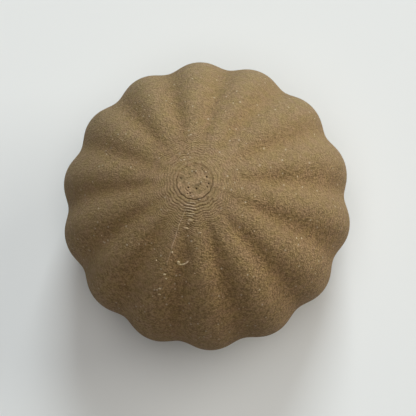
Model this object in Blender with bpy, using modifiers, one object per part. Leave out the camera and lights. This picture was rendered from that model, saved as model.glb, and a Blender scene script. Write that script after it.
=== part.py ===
"""Fluted wall knob: a printed dome-shaped body, its brass threaded insert and the hanger bolt that goes into the wall.

The origin is the centre of the flat back face. +Z points out of the wall along the knob's axis and +Y points
up the wall. Everything is in metres.
"""
import math

import bmesh
import bpy

# Body: a dome over a shorter underside that narrows to the flat back face
BODY_RADIUS = 0.036        # widest ring, halfway between the crests and the valleys of the flutes
WIDEST_HEIGHT = 0.0135     # height of that ring above the back face
DOME_HEIGHT = 0.029        # from the widest ring to where the top would be if it weren't flat
DOME_ROUNDNESS = 1.75      # 2 is an ellipse seen from above, and less is more pointed at the top
DOME_FULLNESS = 2.4        # 2 is an ellipse seen from the side, and more has fuller shoulders
TOP_DISC_RADIUS = 0.0041   # the last printed layer, a small flat disc
BACK_RADIUS = 0.025        # back face, where it meets the wall
UNDERSIDE_POWER = 1.6      # keeps the underside steep enough to print with no support
BACK_CHAMFER = 0.0006

# Flutes: broad round lobes with narrower valleys between them
FLUTES = 14
FLUTE_DEPTH = 0.00088      # half the height from valley to crest, at the widest ring
FLUTE_NARROWING = 0.1      # how much narrower a valley is than a lobe
FLUTE_TURN = 0.263         # angle of the first crest from +X, in radians
FULL_FLUTE_RADIUS = 0.0235 # where the flutes, which start from nothing at the top, are full
FLUTE_SWELL = 0.26         # how much deeper they are there than at the widest ring

# Mesh of the body
COLUMNS = FLUTES * 8
DOME_RINGS = 16
UNDERSIDE_RINGS = 5

# Fixing: M5 heat-set insert and M5 hanger bolt
FIT_GAP = 0.0003
BOLT_RADIUS = 0.0025
BOLT_TOP = 0.0125
BOLT_TIP = -0.034
WOOD_THREAD_TOP = -0.006
WOOD_CORE_RADIUS = 0.0021
POINT_LENGTH = 0.005
INSERT_RADIUS = 0.0035
INSERT_LENGTH = 0.0095
INSERT_GROOVE = 0.0004     # depth of the groove between the two knurled bands
POCKET_RADIUS = INSERT_RADIUS + FIT_GAP
POCKET_DEPTH = INSERT_LENGTH + 2 * FIT_GAP
BORE_RADIUS = BOLT_RADIUS + 2 * FIT_GAP
BORE_DEPTH = BOLT_TOP + 0.002
LATHE_STEPS = 32


def clear_scene():
    for old in list(bpy.data.objects):
        bpy.data.objects.remove(old, do_unlink=True)


def new_collection(name):
    made = bpy.data.collections.new(name)
    bpy.context.scene.collection.children.link(made)
    return made


def new_material(name, colour, roughness, metallic):
    made = bpy.data.materials.new(name)
    made.use_nodes = True
    shader = made.node_tree.nodes["Principled BSDF"]
    shader.inputs["Base Color"].default_value = (*colour, 1.0)
    shader.inputs["Roughness"].default_value = roughness
    shader.inputs["Metallic"].default_value = metallic
    return made


def new_object(name, mesh, collection, parent=None, material=None):
    made = bpy.data.objects.new(name, mesh)
    collection.objects.link(made)
    made.parent = parent
    if material:
        mesh.materials.append(material)
    return made


def lathe(name, profile, collection, parent=None, material=None):
    """A turned solid. The profile is (radius, height) from top to bottom, down its outer side."""
    mesh = bpy.data.meshes.new(name)
    points = [(radius, 0.0, height) for radius, height in profile]
    edges = [(i, i + 1) for i in range(len(points) - 1)]
    if profile[0][0] > 0:
        edges.append((len(points) - 1, 0))
    mesh.from_pydata(points, edges, [])
    made = new_object(name, mesh, collection, parent, material)
    turn = made.modifiers.new("Turn", "SCREW")
    turn.axis = "Z"
    turn.angle = math.tau
    turn.steps = turn.render_steps = LATHE_STEPS
    turn.use_merge_vertices = True
    turn.merge_threshold = 0.00001
    turn.use_smooth_shade = True
    return made


def flute(radius, angle):
    """How far the surface stands out from the mean radius."""
    around = FLUTES * (angle - FLUTE_TURN)
    wave = math.cos(around) - FLUTE_NARROWING * math.cos(2 * around)
    share = math.sin(math.pi / 2 * min(1.0, radius / FULL_FLUTE_RADIUS)) ** 2.2
    share *= 1 + FLUTE_SWELL * (1 - (radius / BODY_RADIUS) ** 4)
    return FLUTE_DEPTH * share * wave


def dome_ring(step):
    """(radius, height) of a ring from the edge of the top disc to the widest one."""
    first = math.asin((TOP_DISC_RADIUS / BODY_RADIUS) ** (DOME_ROUNDNESS / 2))
    turn = first + (math.pi / 2 - first) * step / DOME_RINGS
    radius = BODY_RADIUS * math.sin(turn) ** (2 / DOME_ROUNDNESS)
    height = WIDEST_HEIGHT + DOME_HEIGHT * max(0.0, math.cos(turn)) ** (2 / DOME_FULLNESS)
    return radius, height


def underside_ring(step):
    """(radius, height) of a ring from just under the widest one to the chamfer."""
    edge_radius = (BACK_RADIUS / BODY_RADIUS) ** UNDERSIDE_POWER
    depth = WIDEST_HEIGHT / (1 - edge_radius) ** (1 / UNDERSIDE_POWER)
    last = math.asin((WIDEST_HEIGHT / depth) ** (UNDERSIDE_POWER / 2))
    turn = last * step / UNDERSIDE_RINGS
    radius = BODY_RADIUS * math.cos(turn) ** (2 / UNDERSIDE_POWER)
    height = WIDEST_HEIGHT - depth * math.sin(turn) ** (2 / UNDERSIDE_POWER)
    return radius, max(height, BACK_CHAMFER)


def body_rings():
    rings = [dome_ring(step) for step in range(DOME_RINGS + 1)]
    rings += [underside_ring(step) for step in range(1, UNDERSIDE_RINGS + 1)]
    rings.append((rings[-1][0] - BACK_CHAMFER, 0.0))
    return rings


def make_body(collection, parent, material):
    """A sphere whose rings are moved to the knob's profile and pushed in and out by the flutes."""
    rings = body_rings()
    bm = bmesh.new()
    bmesh.ops.create_uvsphere(bm, u_segments=COLUMNS, v_segments=len(rings) + 1, radius=1.0)
    for vert in bm.verts:
        from_top = math.acos(max(-1.0, min(1.0, vert.co.z)))
        ring = round(from_top / math.pi * (len(rings) + 1))
        angle = math.atan2(vert.co.y, vert.co.x)
        if ring == 0:
            vert.co = (0, 0, rings[0][1])
        elif ring > len(rings):
            vert.co = (0, 0, 0)
        else:
            radius, height = rings[ring - 1]
            radius += flute(radius, angle)
            vert.co = (radius * math.cos(angle), radius * math.sin(angle), height)
    mesh = bpy.data.meshes.new("knob_body")
    bm.to_mesh(mesh)
    bm.free()
    mesh.shade_smooth()
    mesh.set_sharp_from_angle(angle=math.radians(40))
    return new_object("knob_body", mesh, collection, parent, material)


def make_bore_cutter(collection):
    """The insert's pocket, with the bolt's clearance hole beyond it."""
    profile = [
        (0, BORE_DEPTH),
        (BORE_RADIUS, BORE_DEPTH - BORE_RADIUS / 2),
        (BORE_RADIUS, POCKET_DEPTH),
        (POCKET_RADIUS, POCKET_DEPTH),
        (POCKET_RADIUS, FIT_GAP),
        (POCKET_RADIUS + 3 * FIT_GAP, -2 * FIT_GAP),
        (0, -2 * FIT_GAP),
    ]
    cutter = lathe("bore_cutter", profile, collection)
    cutter.hide_render = True
    cutter.display_type = "WIRE"
    return cutter


def cut(target, cutter):
    boolean = target.modifiers.new("Bore", "BOOLEAN")
    boolean.operation = "DIFFERENCE"
    boolean.solver = "EXACT"
    boolean.object = cutter


def make_insert(collection, parent, material):
    """A sleeve with a groove round its middle and a plain lead at its inner end."""
    bottom = FIT_GAP
    top = bottom + INSERT_LENGTH
    middle = (top + bottom) / 2
    inner = BOLT_RADIUS + FIT_GAP
    groove = INSERT_RADIUS - INSERT_GROOVE
    lead = INSERT_RADIUS - INSERT_GROOVE / 2
    profile = [
        (inner, top),
        (lead, top),
        (lead, top - INSERT_LENGTH / 8),
        (INSERT_RADIUS, top - INSERT_LENGTH / 8),
        (INSERT_RADIUS, middle + INSERT_LENGTH / 16),
        (groove, middle + INSERT_LENGTH / 32),
        (groove, middle - INSERT_LENGTH / 32),
        (INSERT_RADIUS, middle - INSERT_LENGTH / 16),
        (INSERT_RADIUS, bottom),
        (inner, bottom),
    ]
    return lathe("threaded_insert", profile, collection, parent, material)


def make_hanger_bolt(collection, parent, material):
    """Machine thread in the insert, a plain neck at the wall's face, then wood thread to a point."""
    chamfer = BOLT_RADIUS / 4
    profile = [
        (0, BOLT_TOP),
        (BOLT_RADIUS - chamfer, BOLT_TOP),
        (BOLT_RADIUS, BOLT_TOP - chamfer),
        (BOLT_RADIUS, 0),
        (WOOD_CORE_RADIUS, -chamfer),
        (WOOD_CORE_RADIUS, WOOD_THREAD_TOP),
        (BOLT_RADIUS, WOOD_THREAD_TOP - chamfer),
        (BOLT_RADIUS, BOLT_TIP + POINT_LENGTH),
        (0, BOLT_TIP),
    ]
    return lathe("hanger_bolt", profile, collection, parent, material)


def main():
    clear_scene()
    knob = new_collection("fluted_wall_knob")
    cutters = new_collection("cutters")
    back_centre = new_object("back_face_centre", None, knob)
    printed_wood = new_material("wood_filled_filament", (0.36, 0.25, 0.13), 0.85, 0.0)
    brass = new_material("brass", (0.72, 0.50, 0.20), 0.35, 1.0)
    zinc_steel = new_material("zinc_plated_steel", (0.62, 0.63, 0.64), 0.32, 1.0)
    body = make_body(knob, back_centre, printed_wood)
    cut(body, make_bore_cutter(cutters))
    make_insert(knob, back_centre, brass)
    make_hanger_bolt(knob, back_centre, zinc_steel)


main()
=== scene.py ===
import math
import random

import bpy
import numpy as np
from mathutils import Matrix, Vector, noise


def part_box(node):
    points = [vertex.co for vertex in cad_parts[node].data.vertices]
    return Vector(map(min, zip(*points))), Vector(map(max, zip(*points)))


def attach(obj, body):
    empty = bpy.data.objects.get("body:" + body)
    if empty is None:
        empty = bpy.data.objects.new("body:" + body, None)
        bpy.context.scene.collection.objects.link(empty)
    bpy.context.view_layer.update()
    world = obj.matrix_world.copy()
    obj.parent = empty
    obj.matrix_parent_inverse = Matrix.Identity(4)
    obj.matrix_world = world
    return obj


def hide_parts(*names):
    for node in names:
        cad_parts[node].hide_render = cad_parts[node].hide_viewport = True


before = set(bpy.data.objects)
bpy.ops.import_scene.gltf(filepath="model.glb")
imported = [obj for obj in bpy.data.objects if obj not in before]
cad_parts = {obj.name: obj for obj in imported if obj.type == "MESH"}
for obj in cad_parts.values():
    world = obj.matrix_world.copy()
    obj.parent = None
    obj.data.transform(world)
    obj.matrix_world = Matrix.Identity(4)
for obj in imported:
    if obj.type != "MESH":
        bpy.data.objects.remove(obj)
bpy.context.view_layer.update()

mm = 0.001
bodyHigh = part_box("knob_body")[1]
insertLow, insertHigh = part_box("threaded_insert")
boltLow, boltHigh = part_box("hanger_bolt")
print("frame loaded, knob is %.1f mm tall" % (bodyHigh.z / mm))


def newMesh(name, points, faces):
    mesh = bpy.data.meshes.new(name)
    mesh.from_pydata(points, [], faces)
    mesh.validate()
    mesh.update()
    made = bpy.data.objects.new(name, mesh)
    bpy.context.scene.collection.objects.link(made)
    return made


def turnedGrid(name, rings, sharpAngle, closedLoop=False):
    # rings is an array of ring, column, xyz. Open ends are closed with a pole at their mean
    count, columns = rings.shape[:2]
    points = [tuple(p) for p in rings.reshape(-1, 3)]
    following = np.roll(np.arange(columns), -1)
    faces = []
    pairs = [(i, i + 1) for i in range(count - 1)]
    if closedLoop:
        pairs.append((count - 1, 0))
    for a, b in pairs:
        for c in range(columns):
            d = int(following[c])
            faces.append((a * columns + c, b * columns + c, b * columns + d, a * columns + d))
    if not closedLoop:
        top, bottom = len(points), len(points) + 1
        points.append(tuple(rings[0].mean(axis=0)))
        points.append(tuple(rings[-1].mean(axis=0)))
        last = (count - 1) * columns
        for c in range(columns):
            d = int(following[c])
            faces.append((top, c, d))
            faces.append((bottom, last + d, last + c))
    made = newMesh(name, points, faces)
    made.data.shade_smooth()
    made.data.set_sharp_from_angle(angle=math.radians(sharpAngle))
    return made


def ringPoints(radius, angles, height):
    radius = np.broadcast_to(radius, angles.shape)
    height = np.broadcast_to(height, angles.shape)
    return np.stack([radius * np.cos(angles), radius * np.sin(angles), height], axis=-1)


def evenAngles(columns):
    return np.linspace(0, 2 * math.pi, columns, endpoint=False)


def bump(distance, width):
    # 1 at the middle and 0 at the width, with soft sides
    share = np.clip(1 - np.abs(distance) / width, 0, 1)
    return share * share * (3 - 2 * share)


def direction(azimuth, elevation):
    # both in degrees, and the azimuth from +X
    turn, up = math.radians(azimuth), math.radians(elevation)
    return Vector((math.cos(turn) * math.cos(up), math.sin(turn) * math.cos(up), math.sin(up)))


def turnedTo(back, right):
    # how a camera or a light is turned, as both look along their own -Z
    return Matrix((right, back.cross(right), back)).transposed().to_4x4()


cameraSettings = {
    "tilt": 12.66,              # degrees off the knob's axis
    "azimuth": -64.9,           # degrees from +X, so towards the lower right
    "distance": 0.315,
    "aim": (1.02 * mm, -1.82 * mm, 20 * mm),
    "lens": 108.9,
    "sensorWidth": 36,
}


def makeCamera(settings):
    data = bpy.data.cameras.new("camera")
    data.lens = settings["lens"]
    data.sensor_width = settings["sensorWidth"]
    camera = bpy.data.objects.new("camera", data)
    bpy.context.scene.collection.objects.link(camera)
    back = direction(settings["azimuth"], 90 - settings["tilt"])
    right = Vector((0, 1, 0)).cross(back).normalized()
    place = Vector(settings["aim"]) + settings["distance"] * back
    camera.matrix_world = Matrix.Translation(place) @ turnedTo(back, right)
    bpy.context.scene.camera = camera


makeCamera(cameraSettings)
print("camera placed")


bodyShape = {
    "radius": 36 * mm,          # widest ring, mean of crests and valleys
    "widestHeight": 13.5 * mm,
    "domeHeight": 29 * mm,
    "roundness": 1.75,
    "fullness": 2.4,
    "undersidePower": 1.6,
    "backRadius": 25 * mm,
    "chamfer": 0.6 * mm,
    "topDiscRadius": 4.1 * mm,
    "flutes": 14,
    "fluteDepth": 0.88 * mm,
    "fluteNarrowing": 0.1,
    "fluteTurn": 0.263,         # radians from +X to the first crest
    "fullFluteRadius": 23.5 * mm,
    "fluteSwell": 0.26,
    "domeRings": 70,
    "undersideRings": 40,
    "undersideCrowding": 1.25,  # above 1, they stand closer near the widest ring
    "backRings": 12,
    "pocketRings": 8,
    "sharpAngle": 38,
}
printing = {
    "layer": 0.12 * mm,
    "lineWidth": 0.45 * mm,
    "lineValley": 0.03 * mm,    # depth of the valley between two lines of the top skin
    "valleyWidth": 0.12 * mm,   # and half its width
    "skinStep": 0.07 * mm,      # between the rings of the mesh there
    "steppedLayers": 30,        # layers whose edges are modelled, from the top down
    "crispLayers": 3,           # of those, the ones with the sharpest edges
    "crispness": 0.95,
    "fadePower": 1.2,
    "noseRound": 0.05 * mm,
    "footGroove": 0.12 * mm,
    "bead": 0.045 * mm,         # how far a line of plastic bulges between its edges
    "ringGroove": 0.32 * mm,    # round the foot of the top disc
    "ringClosed": 0.12,         # how much of it is left on its closed side, of 1
    "ringClosedSide": 75,       # degrees
    "ringFill": 0.6,            # how much of the foot groove is filled there, of 1
    "columns": 14 * 20,
    "fanSide": -140,            # degrees
    "fanSpread": 0.7,
    "farSide": 0.25,            # how crisp the layers are on the far side, of 1
    "wander": 0.012 * mm,       # how far a layer's edge strays
    "wanderRipples": 12,
    "wanderShift": 3.1,         # how different the next layer's wander is
}
# Gaps in the top skin: radius in mm, angle in degrees, half length, half width and depth in mm
topGaps = [
    (3.35, 164, 0.24, 0.24, 0.5),
    (1.65, 130, 0.18, 0.18, 0.25),
    (3.00, 21, 0.36, 0.22, 0.5),
    (3.25, -9, 0.22, 0.22, 0.4),
    (3.25, -24, 0.26, 0.24, 0.4),
    (2.02, -139, 0.36, 0.24, 0.6),
    (1.74, -77, 0.27, 0.27, 0.6),
    (2.88, -112, 0.34, 0.26, 0.5),
    (3.52, -107, 0.24, 0.20, 0.3),
    (3.32, -121, 0.30, 0.20, 0.3),
    (2.72, -134, 1.00, 0.17, 0.22),
    (3.10, -160, 0.55, 0.15, 0.12),
    (2.35, 95, 0.60, 0.15, 0.12),
    (3.35, 60, 0.80, 0.14, 0.12),
    (1.10, 20, 0.50, 0.15, 0.12),
    (2.30, -50, 0.70, 0.15, 0.12),
    (4.12, 119, 0.55, 0.20, 0.35),
    (4.25, 67, 0.35, 0.20, 0.35),
    (4.15, 48, 0.70, 0.16, 0.20),
    (4.25, 18, 0.35, 0.22, 0.30),
]


def flute(radius, angles, s):
    # how far the surface stands out from the mean radius
    around = s["flutes"] * (angles - s["fluteTurn"])
    wave = np.cos(around) - s["fluteNarrowing"] * np.cos(2 * around)
    share = np.sin(math.pi / 2 * np.minimum(1.0, radius / s["fullFluteRadius"])) ** 2.2
    share *= 1 + s["fluteSwell"] * (1 - (radius / s["radius"]) ** 4)
    return s["fluteDepth"] * share * wave


def domeRadius(height, s):
    up = (height - s["widestHeight"]) / s["domeHeight"]
    return s["radius"] * (1 - max(0.0, up) ** s["fullness"]) ** (1 / s["roundness"])


def domeHeightAt(radius, s):
    share = min(1.0, radius / s["radius"]) ** s["roundness"]
    return s["widestHeight"] + s["domeHeight"] * (1 - share) ** (1 / s["fullness"])


def undersideRadius(height, s):
    power = s["undersidePower"]
    edge = (s["backRadius"] / s["radius"]) ** power
    depth = s["widestHeight"] / (1 - edge) ** (1 / power)
    down = (s["widestHeight"] - height) / depth
    return s["radius"] * (1 - max(0.0, down) ** power) ** (1 / power)


def topDiscRings(s, p, top):
    # the last layer, laid in lines with shallow valleys between them
    rings = []
    for i in range(1, int(s["topDiscRadius"] / p["skinStep"])):
        radius = i * p["skinStep"]
        fromEdge = (s["topDiscRadius"] - radius) / p["lineWidth"]
        fromValley = abs(fromEdge - round(fromEdge)) * p["lineWidth"]
        rings.append((radius, top - p["lineValley"] * bump(fromValley, p["valleyWidth"])))
    return rings


def steppedRings(s, p, top):
    # each layer's edge: round nose, straight riser, the groove at its foot and the bead below it.
    # A ring has its layer, its place on the smooth dome, how far it stands out and up from there,
    # how crisp it is, and whether it lies in the groove round the top disc
    rings = []
    layer, groove, bead = p["layer"], p["footGroove"], p["bead"]
    for k in range(p["steppedLayers"]):
        height = top - k * layer
        radius = s["topDiscRadius"] if k == 0 else domeRadius(height, s)
        gap = domeRadius(height - layer, s) - radius
        nose = min(p["noseRound"], gap / 5)
        left = (p["steppedLayers"] - k) / (p["steppedLayers"] - p["crispLayers"])
        crisp = min(1.0, left) ** p["fadePower"]
        crisp *= 1.0 if k == 0 else p["crispness"]
        edge = [
            (-nose, 0.0),
            (-0.3 * nose, -0.3 * nose),
            (0.0, -nose),
            (0.0, -layer - groove),
            (0.12 * gap, -layer - groove),
            (0.3 * gap, -layer + 0.4 * bead),
            (0.55 * gap, -layer + bead),
            (0.8 * gap, -layer + 0.7 * bead),
        ]
        for i, (out, down) in enumerate(edge):
            even = radius + gap * i / len(edge)
            smooth = min(height, domeHeightAt(even, s))
            inRing = k == 0 and i in (3, 4)
            rings.append((k, even, smooth, radius + out - even, height + down - smooth, crisp, inRing))
    return rings


def smoothRings(s, start):
    # from the last modelled step to the widest ring, then the underside to the chamfer
    rings = []
    slope = math.acos(((start - s["widestHeight"]) / s["domeHeight"]) ** (s["fullness"] / 2))
    count = s["domeRings"]
    for i in range(1, count + 1):
        turn = slope + (math.pi / 2 - slope) * i / count
        height = s["widestHeight"] + s["domeHeight"] * max(0.0, math.cos(turn)) ** (2 / s["fullness"])
        rings.append((domeRadius(height, s), height))
    count = s["undersideRings"]
    for i in range(1, count + 1):
        share = (i / count) ** s["undersideCrowding"]
        height = s["widestHeight"] + (s["chamfer"] - s["widestHeight"]) * share
        rings.append((undersideRadius(height, s), height))
    edge = rings[-1][0]
    rings.append((edge - 0.3 * s["chamfer"], 0.35 * s["chamfer"]))
    rings.append((edge - s["chamfer"], 0.0))
    return rings


def backRings(s, hole):
    # the flat back, the insert's pocket and the bolt's hole beyond it
    edge = undersideRadius(s["chamfer"], s) - s["chamfer"]
    count = s["backRings"]
    rings = [(edge - (edge - hole["mouth"]) * i / count, 0.0) for i in range(1, count + 1)]
    rings.append((hole["pocket"], hole["mouth"] - hole["pocket"]))
    count = s["pocketRings"]
    rings += [(hole["pocket"], hole["pocketDepth"] * i / count) for i in range(1, count + 1)]
    rings.append((hole["bore"], hole["pocketDepth"]))
    rings.append((hole["bore"], hole["boreDepth"] - 0.5 * hole["bore"]))
    rings.append((hole["tip"], hole["boreDepth"]))
    return rings


def pressGaps(points, angles, radius, gaps):
    for at, degrees, halfLength, halfWidth, depth in gaps:
        if abs(radius - at * mm) > halfWidth * mm:
            continue
        off = (angles - math.radians(degrees) + math.pi) % (2 * math.pi) - math.pi
        along = bump(off * radius, halfLength * mm)
        across = bump(radius - at * mm, halfWidth * mm)
        points[:, 2] -= depth * mm * along * across


def straying(layer, angles, p):
    # how far a layer's edge wanders in and out
    ripples, shift = p["wanderRipples"], p["wanderShift"] * layer
    spots = [Vector((ripples * math.cos(a), ripples * math.sin(a), shift)) for a in angles]
    return np.array([2 * p["wander"] * noise.noise(spot) for spot in spots])


def makeBody(s, p, hole, gaps):
    angles = evenAngles(p["columns"])
    top = bodyHigh.z
    rings = []
    for radius, height in topDiscRings(s, p, top):
        ring = ringPoints(radius + flute(radius, angles, s), angles, height)
        pressGaps(ring, angles, radius, gaps)
        rings.append(ring)
    # the groove round the top disc is open on its lower side and nearly closed on the upper one
    closed = np.cos(angles - math.radians(p["ringClosedSide"]))
    groove = p["ringClosed"] + (1 - p["ringClosed"]) * np.clip(0.75 - 1.6 * closed, 0, 1)
    extra = (p["ringGroove"] - p["footGroove"]) * groove - p["ringFill"] * p["footGroove"] * (1 - groove)
    # the layers are crisp where the fan blew, and soft on the far side
    fan = (0.5 + 0.5 * np.cos(angles - math.radians(p["fanSide"]))) ** p["fanSpread"]
    fan = p["farSide"] + (1 - p["farSide"]) * fan
    for layer, radius, height, out, rise, crisp, inRing in steppedRings(s, p, top):
        sharp = crisp * (1.0 if layer == 0 else fan)
        place = radius + out * sharp
        level = height + rise * sharp
        if inRing:
            level = level - extra
        ring = ringPoints(place + flute(place, angles, s) + straying(layer, angles, p), angles, level)
        pressGaps(ring, angles, radius, gaps)
        rings.append(ring)
    start = float(rings[-1][:, 2].min())
    for radius, height in smoothRings(s, start):
        rings.append(ringPoints(radius + flute(radius, angles, s), angles, height))
    # the flutes die out over the back, from its edge to the hole
    edgeFlute = flute(s["backRadius"], angles, s)
    for radius, height in backRings(s, hole):
        share = np.clip((radius - hole["mouth"]) / (s["backRadius"] - hole["mouth"]), 0, 1)
        rings.append(ringPoints(radius + edgeFlute * share, angles, height))
    return turnedGrid("printed_knob_body", np.array(rings), s["sharpAngle"])


boltHole = {
    "mouth": insertHigh.x + 1.2 * mm,
    "pocket": insertHigh.x + 0.3 * mm,
    "pocketDepth": insertHigh.z + 0.3 * mm,
    "bore": boltHigh.x + 0.6 * mm,
    "boreDepth": boltHigh.z + 2 * mm,
    "tip": 0.02 * mm,
}
body = makeBody(bodyShape, printing, boltHole, topGaps)
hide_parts("knob_body")
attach(body, "root")
print("body made with %d faces" % len(body.data.polygons))


# Short rungs at the top of the seam, where the first layers begin, and soft blobs on and below the top disc.
# Each has its radius in mm, angle in degrees, and half length across the seam, half width and height in mm
seamRungs = [
    (5.15, -98, 1.10, 0.18, 0.14),
    (5.85, -101, 1.35, 0.18, 0.14),
    (6.50, -99, 1.50, 0.18, 0.13),
    (7.15, -101, 1.25, 0.18, 0.12),
    (7.75, -98, 1.40, 0.18, 0.10),
    (8.35, -99, 1.00, 0.18, 0.09),
    (4.55, -76, 0.34, 0.24, 0.16),
    (9.30, -97, 0.60, 0.42, 0.12),
    (10.30, -99, 0.35, 0.26, 0.12),
    (11.50, -101, 0.65, 0.32, 0.11),
    (11.60, -85, 0.45, 0.18, 0.12),
    (2.43, 82, 0.24, 0.34, 0.10),
    (1.57, -10, 0.26, 0.30, 0.10),
    (3.40, 40, 0.20, 0.26, 0.08),
    (3.55, -97, 0.30, 0.20, 0.08),
]
# Brighter blobs further down, given in the same way
seamBlobs = [
    (16.60, -109, 0.24, 0.30, 0.18),
    (19.60, -103, 0.40, 0.34, 0.30),
    (21.60, -110, 0.34, 0.20, 0.14),
    (22.60, -108.5, 0.30, 0.18, 0.14),
    (24.90, -110.5, 0.36, 0.24, 0.18),
    (26.20, -110, 0.40, 0.18, 0.12),
    (19.60, -118, 0.22, 0.22, 0.18),
]
seam = {
    "angle": -108.5,            # degrees, at the top of the ridge
    "bend": 2,                  # how much further round it is below
    "bendLength": 3,            # mm
    "ridgeStart": 7.0,          # mm from the axis
    "ridgeEnd": 20.0,
    "ridgeWidth": 0.13 * mm,
    "ridgeHeight": 0.10 * mm,
    "ridgePoints": 50,
    "ridgeStray": 0.3,          # degrees
    "strayHair": [(19.7, -104), (20.1, -102.6), (20.3, -100.8), (20.0, -98.9), (19.3, -97.2), (18.5, -95.8)],
    "hairWidth": 0.22 * mm,
    "stripSides": 8,
    "blobRows": 7,
    "blobColumns": 12,
    "rise": 1.3,                # how much taller the blobs are than the lists say
    "looseSpecks": 45,
    "speckReach": 33,           # mm from the axis
    "speckLength": (0.08, 0.2),
    "speckWidth": (0.07, 0.13),
    "speckHeight": 0.07,
    "seed": 4,
}


def surfacePoint(radius, degrees, s):
    # the point on the dome over a mean radius in mm, the way down the dome and the way out of it
    def at(r, a):
        out = r + float(flute(r, a, s))
        return Vector((out * math.cos(a), out * math.sin(a), domeHeightAt(r, s)))
    radius, angle = radius * mm, math.radians(degrees)
    small = 0.05 * mm
    place = at(radius, angle)
    down = at(radius + small, angle) - place
    side = at(radius, angle + small / radius) - place
    return place, down.normalized(), down.cross(side).normalized()


def unitBlob(rows, columns):
    # a ball of radius 1, as points and faces
    points, faces = [(0, 0, 1)], []
    for i in range(1, rows):
        turn = math.pi * i / rows
        for c in range(columns):
            a = 2 * math.pi * c / columns
            points.append((math.sin(turn) * math.cos(a), math.sin(turn) * math.sin(a), math.cos(turn)))
    points.append((0, 0, -1))
    last = 1 + (rows - 2) * columns
    for c in range(columns):
        d = (c + 1) % columns
        faces.append((0, 1 + c, 1 + d))
        for i in range(rows - 2):
            a, b = 1 + i * columns, 1 + (i + 1) * columns
            faces.append((a + c, b + c, b + d, a + d))
        faces.append((len(points) - 1, last + d, last + c))
    return points, faces


def addStrip(points, faces, path, width, height, sides, shape):
    # a low ridge of plastic that follows pairs of radius and angle over the dome
    first = len(points)
    for i, (radius, degrees) in enumerate(path):
        place, down, out = surfacePoint(radius, degrees, shape)
        before, after = path[max(0, i - 1)], path[min(len(path) - 1, i + 1)]
        along = surfacePoint(*after, shape)[0] - surfacePoint(*before, shape)[0]
        side = out.cross(along.normalized()).normalized()
        thin = math.sin(math.pi * (i + 0.5) / len(path)) ** 0.4
        for turn in range(sides):
            a = math.tau * turn / sides
            points.append(place + (side * math.cos(a) * width + out * math.sin(a) * height) * thin)
    for i in range(len(path) - 1):
        for turn in range(sides):
            a = first + sides * i + turn
            b = first + sides * i + (turn + 1) % sides
            faces.append((a, b, b + sides, a + sides))
    faces.append(tuple(first + turn for turn in reversed(range(sides))))
    faces.append(tuple(first + sides * (len(path) - 1) + turn for turn in range(sides)))


def addBlobs(points, faces, blobs, s, shape):
    unit, unitFaces = unitBlob(s["blobRows"], s["blobColumns"])
    for radius, degrees, length, width, height in blobs:
        place, down, out = surfacePoint(radius, degrees, shape)
        side = out.cross(down)
        first = len(points)
        for x, y, z in unit:
            at = place + down * (x * width * mm) + side * (y * length * mm)
            points.append(at + out * (z * height * mm * s["rise"]))
        faces += [tuple(first + v for v in f) for f in unitFaces]


def makeSeam(blobs, s, shape):
    pick = random.Random(s["seed"])
    blobs = list(blobs)
    for i in range(s["looseSpecks"]):
        radius = s["speckReach"] * math.sqrt(pick.uniform(0.03, 1))
        degrees = pick.uniform(0, 360)
        length = pick.uniform(*s["speckLength"])
        blobs.append((radius, degrees, length, pick.uniform(*s["speckWidth"]), s["speckHeight"]))
    points, faces = [], []
    addBlobs(points, faces, blobs, s, shape)
    addStrip(points, faces, s["strayHair"], s["hairWidth"], s["hairWidth"], s["stripSides"], shape)
    made = newMesh("layer_seam_blobs", points, faces)
    made.data.shade_smooth()
    return made


def makeRidge(rungs, s, shape):
    pick = random.Random(s["seed"])
    points, faces, path = [], [], []
    for i in range(s["ridgePoints"]):
        radius = s["ridgeStart"] + (s["ridgeEnd"] - s["ridgeStart"]) * i / (s["ridgePoints"] - 1)
        degrees = s["angle"] - s["bend"] * min(1.0, (radius - s["ridgeStart"]) / s["bendLength"])
        path.append((radius, degrees + pick.uniform(-s["ridgeStray"], s["ridgeStray"])))
    addStrip(points, faces, path, s["ridgeWidth"], s["ridgeHeight"], s["stripSides"], shape)
    addBlobs(points, faces, rungs, s, shape)
    made = newMesh("layer_seam_ridge", points, faces)
    made.data.shade_smooth()
    return made


seamPiece = makeSeam(seamBlobs, seam, bodyShape)
seamRidge = makeRidge(seamRungs, seam, bodyShape)
for piece in (seamPiece, seamRidge):
    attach(piece, "root")
print("seam made")


boltThread = {
    "machinePitch": 0.8 * mm,
    "machineDepth": 0.42 * mm,
    "machineSteep": (1.25, 0.12),   # slope of a tooth, and how much of its crest is flat
    "woodPitch": 2.2 * mm,
    "woodDepth": 0.62 * mm,
    "woodStart": 1.5 * mm,          # over which the wood thread starts
    "neckInset": 0.3 * mm,
    "neckFade": 0.6 * mm,           # over which the machine thread runs out
    "neckBottom": -6 * mm,
    "endChamfer": 0.7 * mm,
    "tipLength": 6 * mm,
    "tipRadius": 0.02 * mm,
    "columns": 48,
    "step": 0.08 * mm,
    "sharpAngle": 50,
}
insertShape = {
    "knurls": 36,
    "knurlDepth": 0.22 * mm,
    "knurlSteep": (1.3, 0.15),
    "knurlLean": 260,               # radians of turn per metre of height
    "grooveDepth": 0.5 * mm,
    "grooveWidth": 1.2 * mm,        # half of it, with its sides
    "grooveSteep": 1.6,
    "leadLength": 1.1 * mm,
    "edge": 0.12 * mm,
    "mouthChamfer": 0.3 * mm,
    "threadGap": 0.06 * mm,
    "columns": 216,
    "rings": 90,
    "sharpAngle": 45,
}


def saw(x):
    # a triangle wave from 0 to 1
    return np.abs((x % 1.0) * 2 - 1)


def teeth(wave, steep):
    # cuts off the wave's crests and roots
    slope, flat = steep
    return np.clip(slope * wave - flat, 0, 1)


def machineThread(height, angles, t, outer):
    wave = saw(height / t["machinePitch"] - angles / (2 * math.pi))
    return outer - t["machineDepth"] * teeth(wave, t["machineSteep"])


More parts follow.
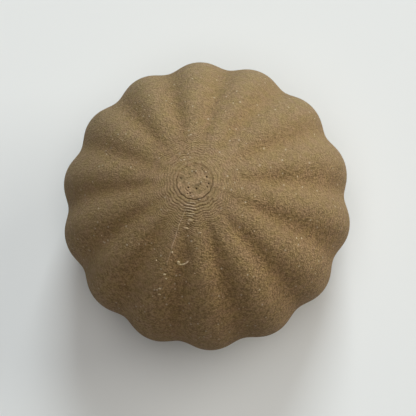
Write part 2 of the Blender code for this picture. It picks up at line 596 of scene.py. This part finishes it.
def boltRadius(height, angles, t, low, high, outer):
    neck = outer - t["neckInset"]
    if height > 0:
        radius = machineThread(height, angles, t, outer)
        end = (high - height) / t["endChamfer"]
        return np.minimum(radius, outer - t["endChamfer"] * max(0.0, 1 - end))
    if height > t["neckBottom"]:
        fade = min(1.0, -height / t["neckFade"])
        return machineThread(height, angles, t, outer) * (1 - fade) + neck * fade
    taper = min(1.0, (height - low) / t["tipLength"])
    start = min(1.0, (t["neckBottom"] - height) / t["woodStart"])
    core = (outer - t["woodDepth"]) * (taper ** 0.8)
    wave = saw(height / t["woodPitch"] - angles / (2 * math.pi))
    crest = np.clip(1 - 2.6 * wave, 0, 1) ** 1.3
    thread = core + t["woodDepth"] * crest * min(1.0, 0.25 + taper)
    return np.minimum(neck * (1 - start) + thread * start, outer)


def makeBolt(t):
    low, high, outer = boltLow.z, boltHigh.z, boltHigh.x
    angles = evenAngles(t["columns"])
    rings = []
    for z in np.arange(high, low, -t["step"]):
        radius = boltRadius(z, angles, t, low, high, outer)
        rings.append(ringPoints(np.maximum(radius, t["tipRadius"]), angles, z))
    rings.append(ringPoints(t["tipRadius"], angles, low))
    return turnedGrid("threaded_hanger_bolt", np.array(rings), t["sharpAngle"])


def insertOuter(height, angles, s, low, high, outer):
    middle = (low + high) / 2
    if high - height < s["leadLength"]:
        return np.full(angles.shape, outer - s["knurlDepth"])
    groove = float(bump(height - middle, s["grooveWidth"]))
    lean = s["knurlLean"] if height > middle else -s["knurlLean"]
    wave = saw(s["knurls"] * (angles + lean * (height - middle)) / (2 * math.pi))
    radius = outer - s["knurlDepth"] * teeth(wave, s["knurlSteep"])
    return radius - s["grooveDepth"] * min(1.0, s["grooveSteep"] * groove)


def makeInsert(s, t):
    low, high, outer = insertLow.z, insertHigh.z, insertHigh.x
    angles = evenAngles(s["columns"])
    edge, chamfer = s["edge"], s["mouthChamfer"]
    endRadius = outer - s["knurlDepth"] - edge
    mouth = boltHigh.x + s["threadGap"] + chamfer
    rings = []
    for z in np.linspace(high - edge, low + edge, s["rings"]):
        rings.append(ringPoints(insertOuter(z, angles, s, low, high, outer), angles, z))
    rings.append(ringPoints(endRadius, angles, low))
    rings.append(ringPoints(mouth, angles, low))
    for z in np.linspace(low + chamfer, high - chamfer, s["rings"]):
        rings.append(ringPoints(machineThread(z, angles, t, boltHigh.x) + s["threadGap"], angles, z))
    rings.append(ringPoints(mouth, angles, high))
    rings.append(ringPoints(endRadius, angles, high))
    return turnedGrid("knurled_brass_insert", np.array(rings), s["sharpAngle"], closedLoop=True)


bolt = makeBolt(boltThread)
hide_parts("hanger_bolt")
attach(bolt, "root")
insert = makeInsert(insertShape, boltThread)
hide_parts("threaded_insert")
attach(insert, "root")
print("bolt and insert made")


def addNode(tree, kind, inputs=None, **settings):
    node = tree.nodes.new(kind)
    for name, value in settings.items():
        setattr(node, name, value)
    for name, value in (inputs or {}).items():
        node.inputs[name].default_value = value
    return node


def maths(tree, operation, a, b=None):
    node = addNode(tree, "ShaderNodeMath", operation=operation)
    for index, value in enumerate((a, b)):
        if value is None:
            continue
        if isinstance(value, (int, float)):
            node.inputs[index].default_value = value
        else:
            tree.links.new(value, node.inputs[index])
    return node.outputs[0]


def weighed(tree, values, weights):
    # the sum of the values, each times its weight
    total = None
    for value, weight in zip(values, weights):
        part = maths(tree, "MULTIPLY", value, weight)
        total = part if total is None else maths(tree, "ADD", total, part)
    return total


def vectorMaths(tree, operation, vector, other, output):
    node = addNode(tree, "ShaderNodeVectorMath", operation=operation)
    tree.links.new(vector, node.inputs[0])
    node.inputs[1].default_value = other
    return node.outputs[output]


def splitPlace(tree, place):
    node = addNode(tree, "ShaderNodeSeparateXYZ")
    tree.links.new(place, node.inputs[0])
    return node.outputs["X"], node.outputs["Y"], node.outputs["Z"]


def mixColours(tree, factor, a, b, blend="MIX"):
    node = addNode(tree, "ShaderNodeMix", data_type="RGBA", blend_type=blend)
    for name, value in (("Factor", factor), ("A", a), ("B", b)):
        socket = [i for i in node.inputs if i.name == name and i.enabled][0]
        if isinstance(value, (int, float, tuple)):
            socket.default_value = value
        else:
            tree.links.new(value, socket)
    return [o for o in node.outputs if o.enabled][0]


def tinted(tree, colour, tint):
    return mixColours(tree, 1.0, colour, tint, "MULTIPLY")


def remap(tree, value, low, high, toLow=0.0, toHigh=1.0):
    limits = {"From Min": low, "From Max": high, "To Min": toLow, "To Max": toHigh}
    node = addNode(tree, "ShaderNodeMapRange", limits)
    tree.links.new(value, node.inputs["Value"])
    return node.outputs["Result"]


def noiseValue(tree, vector, size, detail, rough=0.55):
    node = addNode(tree, "ShaderNodeTexNoise", {"Scale": 1 / size, "Detail": detail, "Roughness": rough})
    tree.links.new(vector, node.inputs["Vector"])
    return node.outputs["Fac"]


def newGroup(name, inputs, outputs):
    group = bpy.data.node_groups.new(name, "ShaderNodeTree")
    for label, kind, value in inputs:
        socket = group.interface.new_socket(name=label, in_out="INPUT", socket_type=kind)
        socket.default_value = value
    for label, kind in outputs:
        group.interface.new_socket(name=label, in_out="OUTPUT", socket_type=kind)
    return group, group.nodes.new("NodeGroupInput"), group.nodes.new("NodeGroupOutput")


woodLook = {
    "patchSize": 4 * mm,
    "grainSize": 0.75 * mm,
    "fineSize": 0.40 * mm,
    "grainAmounts": (0.14, 0.46, 0.40),     # patches, coarse grain, fine grain
    "grainSpread": 0.19,                    # less of it gives more contrast
    "grainSquash": (1.0, 1.0, 1.5),
    "hueSize": 2.2 * mm,
    "yellowTint": (0.99, 1.0, 0.89, 1),
    "pinkTint": (1.03, 0.99, 1.05, 1),
    "fleck": (0.66, 0.56, 0.40, 1),
    "fleckCell": 1.5 * mm,
    "fleckShare": (0.57, 0.63),             # cells above this have a fleck
    "fleckEdge": (0.20, 0.09),
    "topLightTint": (1.08, 1.12, 1.24, 1),       # painted light: the top few layers, which face up, are painted paler and greyer
    "topLightDepth": (3.0 * mm, 0.3 * mm),
    # painted light and shade: the side towards the light is tinted paler and cooler, and the side away from
    # it darker and warmer
    "paintedLightSide": (-0.25, 0.96, 0.1),        # the direction of the light that is painted onto the sides
    "paintedLitTint": (1.03, 1.08, 1.13, 1),
    "paintedShadeTint": (1.03, 0.95, 0.86, 1),
    # painted shade: how much more contrasty the grain's colour is on the side away from the light
    "shadeSideGrainContrast": 2.3,
    # painted shade in the flute valleys and painted highlight on their crests
    "valleyShadeTint": (0.99, 0.955, 0.90, 1),
    "crestHighlightTint": (1.02, 1.03, 1.05, 1),
    "fluteShadeStart": (6 * mm, 18 * mm),        # from the axis, where those two begin and are full
    "skinDepth": (0.10 * mm, 0.05 * mm),
    "smearSize": 1.1 * mm,
    "smear": (0.74, 1.22),
    # painted shade inside the gaps of the top skin
    "gapShadeColour": (0.055, 0.036, 0.018, 1),
    "gapDepth": (0.15 * mm, 0.32 * mm),
    "gapInset": (0.25 * mm, 0.35 * mm),     # only this far inside the top disc's edge
    "roughness": (0.90, 0.74),
    "bumpAmounts": (0.65, 0.8, 0.2),        # coarse grain, fine grain, layer lines
    "topBump": 0.45,
    "bedLines": (0.5, 0.12),                # on the back: lines, fine grain
    "bedDepth": (0.3 * mm, 0.02 * mm),
    "bumpDepth": 0.55 * mm,
    "specular": 0.35,
}
bodyShades = {"Dark": (0.167, 0.109, 0.047, 1), "Light": (0.338, 0.231, 0.113, 1), "Fleck Amount": 0.50}
ridgeShades = {"Dark": (0.235, 0.165, 0.088, 1), "Light": (0.46, 0.34, 0.20, 1), "Fleck Amount": 0.2}
seamShades = {"Dark": (0.42, 0.32, 0.19, 1), "Light": (0.66, 0.54, 0.37, 1), "Fleck Amount": 0.2}


def woodGrain(group, place, facing, grain, fine, given, look):
    patches = noiseValue(group, place, look["patchSize"], 3.0)
    mixed = weighed(group, (patches, grain, fine), look["grainAmounts"])
    # painted shade: on the side away from the light the grain's colour contrast is raised, standing in for
    # the grain's shading there
    contrast = remap(group, facing, -0.5, 0.0, look["shadeSideGrainContrast"], 1.0)
    mixed = maths(group, "MULTIPLY", maths(group, "SUBTRACT", mixed, 0.5), contrast)
    shade = remap(group, mixed, -look["grainSpread"], look["grainSpread"])
    colour = mixColours(group, shade, given.outputs["Dark"], given.outputs["Light"])
    hues = remap(group, noiseValue(group, place, look["hueSize"], 2.0), 0.34, 0.66)
    return tinted(group, colour, mixColours(group, hues, look["yellowTint"], look["pinkTint"]))


def fluteShadeAndHighlight(group, x, y, away, look, shape):
    # painted highlight on the flute crests, and painted shade in the valleys between them
    turn = maths(group, "SUBTRACT", maths(group, "ARCTAN2", y, x), shape["fluteTurn"])
    wave = maths(group, "COSINE", maths(group, "MULTIPLY", turn, shape["flutes"]))
    wave = maths(group, "MULTIPLY", wave, remap(group, away, *look["fluteShadeStart"]))
    return mixColours(group, remap(group, wave, -1.0, 1.0), look["valleyShadeTint"], look["crestHighlightTint"])


def smearedSkin(group, place, z, top, look):
    # the top disc's skin is smeared, paler in patches
    deep, shallow = look["skinDepth"]
    onDisc = remap(group, z, top - deep, top - shallow)
    smear = remap(group, noiseValue(group, place, look["smearSize"], 2.0), 0.35, 0.65, *look["smear"])
    smear = maths(group, "MULTIPLY", maths(group, "SUBTRACT", smear, 1.0), onDisc)
    smear = maths(group, "ADD", smear, 1.0)
    shade = addNode(group, "ShaderNodeCombineColor")
    for channel in shade.inputs:
        group.links.new(smear, channel)
    return shade.outputs[0]


def gapShadeMask(group, z, away, top, look, shape):
    # painted shade: the gaps in the top skin are painted dark inside
    shallow, deep = look["gapDepth"]
    outer, inner = [shape["topDiscRadius"] - inset for inset in look["gapInset"]]
    inGap = remap(group, z, top - shallow, top - deep)
    return maths(group, "MULTIPLY", inGap, remap(group, away, outer, inner))


def fleckMask(group, place, amount, look):
    cells = addNode(group, "ShaderNodeTexVoronoi", {"Scale": 1 / look["fleckCell"], "Randomness": 1.0})
    group.links.new(place, cells.inputs["Vector"])
    chosen = remap(group, cells.outputs["Color"], *look["fleckShare"])
    spot = remap(group, cells.outputs["Distance"], *look["fleckEdge"])
    return maths(group, "MULTIPLY", maths(group, "MULTIPLY", chosen, spot), amount)


def woodHeight(group, x, y, z, grain, fine, nearTop, layerHeight, lineWidth, look):
    groove = maths(group, "PINGPONG", maths(group, "DIVIDE", z, layerHeight), 0.5)
    height = weighed(group, (grain, fine, groove), look["bumpAmounts"])
    height = maths(group, "MULTIPLY", height, remap(group, nearTop, 0.0, 1.0, 1.0, look["topBump"]))
    # the back was printed on a smooth bed: straight lines side by side, and almost no grain
    onBed = remap(group, z, *look["bedDepth"])
    across = maths(group, "DIVIDE", maths(group, "ADD", x, y), 1.41 * lineWidth)
    lines = weighed(group, (maths(group, "PINGPONG", across, 0.5), fine), look["bedLines"])
    height = maths(group, "MULTIPLY", height, maths(group, "SUBTRACT", 1.0, onBed))
    return maths(group, "ADD", height, maths(group, "MULTIPLY", lines, onBed))


def woodFillGroup(look, shape, lineWidth, top):
    # ground wood in plastic: patchy brown, coarse and fine grain, pale flecks and printed layer lines, with
    # painted light and shade on its sides, flutes, top and gaps
    group, given, result = newGroup(
        "woodFill",
        [("Dark", "NodeSocketColor", (0.2, 0.12, 0.05, 1)),
         ("Light", "NodeSocketColor", (0.4, 0.28, 0.15, 1)),
         ("Fleck", "NodeSocketColor", (0.7, 0.6, 0.4, 1)),
         ("Top Light Tint", "NodeSocketColor", (1.0, 1.0, 1.0, 1)),
         ("Layer Height", "NodeSocketFloat", 0.12 * mm),
         ("Fleck Amount", "NodeSocketFloat", 0.5)],
        [("Colour", "NodeSocketColor"), ("Roughness", "NodeSocketFloat"), ("Height", "NodeSocketFloat")])
    coordinates = addNode(group, "ShaderNodeTexCoord")
    place = coordinates.outputs["Object"]
    x, y, z = splitPlace(group, place)
    away = vectorMaths(group, "LENGTH", vectorMaths(group, "MULTIPLY", place, (1.0, 1.0, 0.0), "Vector"),
                       (0.0, 0.0, 0.0), "Value")
    facing = vectorMaths(group, "DOT_PRODUCT", coordinates.outputs["Normal"], look["paintedLightSide"], "Value")
    # grain is squashed in height, so that on the flanks it runs in short streaks along the layers
    squashed = vectorMaths(group, "MULTIPLY", place, look["grainSquash"], "Vector")
    grain = noiseValue(group, squashed, look["grainSize"], 2.0, 0.65)
    fine = noiseValue(group, squashed, look["fineSize"], 1.5)
    colour = woodGrain(group, place, facing, grain, fine, given, look)
    colour = tinted(group, colour, fluteShadeAndHighlight(group, x, y, away, look, shape))
    # painted light and shade: the side that faces the light is painted paler and cooler, and the other one
    # darker and warmer
    sideTint = mixColours(group, remap(group, facing, -0.9, 0.9), look["paintedShadeTint"], look["paintedLitTint"])
    colour = tinted(group, colour, sideTint)
    # painted light: the top few layers are tinted paler and greyer
    low, high = look["topLightDepth"]
    nearTop = remap(group, z, top - low, top - high)
    colour = mixColours(group, nearTop, colour, tinted(group, colour, given.outputs["Top Light Tint"]))
    colour = tinted(group, colour, smearedSkin(group, place, z, top, look))
    colour = mixColours(group, gapShadeMask(group, z, away, top, look, shape), colour, look["gapShadeColour"])
    fleck = fleckMask(group, place, given.outputs["Fleck Amount"], look)
    colour = mixColours(group, fleck, colour, given.outputs["Fleck"])
    group.links.new(colour, result.inputs["Colour"])
    group.links.new(remap(group, grain, 0.3, 0.7, *look["roughness"]), result.inputs["Roughness"])
    height = woodHeight(group, x, y, z, grain, fine, nearTop, given.outputs["Layer Height"], lineWidth, look)
    group.links.new(height, result.inputs["Height"])
    return group


def newMaterial(name):
    material = bpy.data.materials.new(name)
    material.use_nodes = True
    return material, material.node_tree.nodes["Principled BSDF"]


def groupMaterial(name, group, values, bumpDepth, bumpStrength):
    # a material whose colour, roughness and bump come from the group
    material, shader = newMaterial(name)
    tree = material.node_tree
    made = addNode(tree, "ShaderNodeGroup", node_tree=group)
    for label, value in values.items():
        made.inputs[label].default_value = value
    tree.links.new(made.outputs["Colour"], shader.inputs["Base Color"])
    tree.links.new(made.outputs["Roughness"], shader.inputs["Roughness"])
    bumps = addNode(tree, "ShaderNodeBump", {"Distance": bumpDepth, "Strength": bumpStrength})
    tree.links.new(made.outputs["Height"], bumps.inputs["Height"])
    tree.links.new(bumps.outputs["Normal"], shader.inputs["Normal"])
    return material, shader


def printedWood(name, group, shades, look, layer):
    values = {"Fleck": look["fleck"], "Top Light Tint": look["topLightTint"], "Layer Height": layer, **shades}
    material, shader = groupMaterial(name, group, values, look["bumpDepth"], 1.0)
    shader.inputs["Specular IOR Level"].default_value = look["specular"]
    return material


metalLook = {
    "patchSize": 1.6 * mm,
    "tarnishEdge": (0.45, 0.75),
    "roughness": (0.22, 0.42),
    "fineSize": 0.12 * mm,
    "fineAmount": 0.6,
    "bumpDepth": 0.01 * mm,
    "bumpStrength": 0.5,
}
brass = {"Clean": (0.80, 0.58, 0.25, 1), "Tarnish": (0.50, 0.33, 0.13, 1)}
zinc = {"Clean": (0.72, 0.74, 0.76, 1), "Tarnish": (0.48, 0.50, 0.52, 1)}


def machinedGroup(look):
    # turning lines and a little tarnish on a small metal part
    group, given, result = newGroup(
        "machinedMetal",
        [("Clean", "NodeSocketColor", (0.8, 0.8, 0.8, 1)),
         ("Tarnish", "NodeSocketColor", (0.4, 0.3, 0.2, 1)),
         ("Line Spacing", "NodeSocketFloat", 0.08 * mm)],
        [("Colour", "NodeSocketColor"), ("Roughness", "NodeSocketFloat"), ("Height", "NodeSocketFloat")])
    place = addNode(group, "ShaderNodeTexCoord").outputs["Object"]
    patches = noiseValue(group, place, look["patchSize"], 4.0, 0.6)
    fine = noiseValue(group, place, look["fineSize"], 2.0)
    tarnish = remap(group, patches, *look["tarnishEdge"])
    colour = mixColours(group, tarnish, given.outputs["Clean"], given.outputs["Tarnish"])
    group.links.new(colour, result.inputs["Colour"])
    group.links.new(remap(group, patches, 0.3, 0.75, *look["roughness"]), result.inputs["Roughness"])
    rise = splitPlace(group, place)[2]
    lines = maths(group, "PINGPONG", maths(group, "DIVIDE", rise, given.outputs["Line Spacing"]), 0.5)
    height = maths(group, "ADD", lines, maths(group, "MULTIPLY", fine, look["fineAmount"]))
    group.links.new(height, result.inputs["Height"])
    return group


def machined(name, group, shades, look):
    material, shader = groupMaterial(name, group, shades, look["bumpDepth"], look["bumpStrength"])
    shader.inputs["Metallic"].default_value = 1.0
    return material


woodFill = woodFillGroup(woodLook, bodyShape, printing["lineWidth"], bodyHigh.z)
wooden = [
    (body, "printed_wood_fill", bodyShades),
    (seamRidge, "printed_ridge", ridgeShades),
    (seamPiece, "printed_seam", seamShades),
]
for piece, name, shades in wooden:
    piece.data.materials.append(printedWood(name, woodFill, shades, woodLook, printing["layer"]))
machinedMetal = machinedGroup(metalLook)
insert.data.materials.append(machined("turned_brass", machinedMetal, brass, metalLook))
bolt.data.materials.append(machined("zinc_plate", machinedMetal, zinc, metalLook))
print("materials made")


# azimuth from +X and elevation in degrees, distance, width, height, power, colour
lighting = {
    "window": (80, 31, 3.0, 1.10, 1.00, 60.0, (0.92, 1.0, 1.04)),
    "sideWindow": (24, 18, 3.0, 2.40, 1.20, 64.0, (1.0, 0.98, 0.90)),
    "ceiling": (0, 88, 1.6, 2.30, 1.30, 15.3, (1.0, 0.975, 0.935)),
}
room = {
    "light": 0.01,
    "backdrop": (0.70, 0.715, 0.715, 1),
}
floorLook = {
    "halfSize": 3.0,
    "drop": 0.1 * mm,           # keeps it clear of the back face
    "colour": (0.80, 0.812, 0.812, 1),
    "roughness": 0.85,
    "specular": 0.2,
}


def makeFloor(s):
    half, low = s["halfSize"], -s["drop"]
    corners = [(-half, -half, low), (half, -half, low), (half, half, low), (-half, half, low)]
    floor = newMesh("floor", corners, [(0, 1, 2, 3)])
    material, shader = newMaterial("pale_floor")
    shader.inputs["Base Color"].default_value = s["colour"]
    shader.inputs["Roughness"].default_value = s["roughness"]
    shader.inputs["Specular IOR Level"].default_value = s["specular"]
    floor.data.materials.append(material)


def areaLight(name, azimuth, elevation, distance, width, height, power, colour):
    data = bpy.data.lights.new(name, "AREA")
    data.color = colour
    data.shape = "RECTANGLE"
    data.size = width
    data.size_y = height
    data.energy = power
    light = bpy.data.objects.new(name, data)
    bpy.context.scene.collection.objects.link(light)
    back = direction(azimuth, elevation)
    light.matrix_world = Matrix.Translation(distance * back) @ turnedTo(back, direction(azimuth + 90, 0))


def makeRoom(s):
    world = bpy.data.worlds.new("room")
    bpy.context.scene.world = world
    world.use_nodes = True
    tree = world.node_tree
    sky = tree.nodes["Background"]
    sky.inputs["Color"].default_value = (1.0, 1.0, 1.0, 1)
    sky.inputs["Strength"].default_value = s["light"]
    # the room gives little light, but from the side it is seen as a pale wall
    wall = addNode(tree, "ShaderNodeBackground", {"Color": s["backdrop"]})
    pick = addNode(tree, "ShaderNodeMixShader")
    tree.links.new(addNode(tree, "ShaderNodeLightPath").outputs["Is Camera Ray"], pick.inputs["Fac"])
    tree.links.new(sky.outputs[0], pick.inputs[1])
    tree.links.new(wall.outputs[0], pick.inputs[2])
    tree.links.new(pick.outputs[0], tree.nodes["World Output"].inputs["Surface"])


makeFloor(floorLook)
for name, values in lighting.items():
    areaLight(name, *values)
makeRoom(room)
bpy.context.scene.view_settings.view_transform = "Standard"
print("floor and light placed")
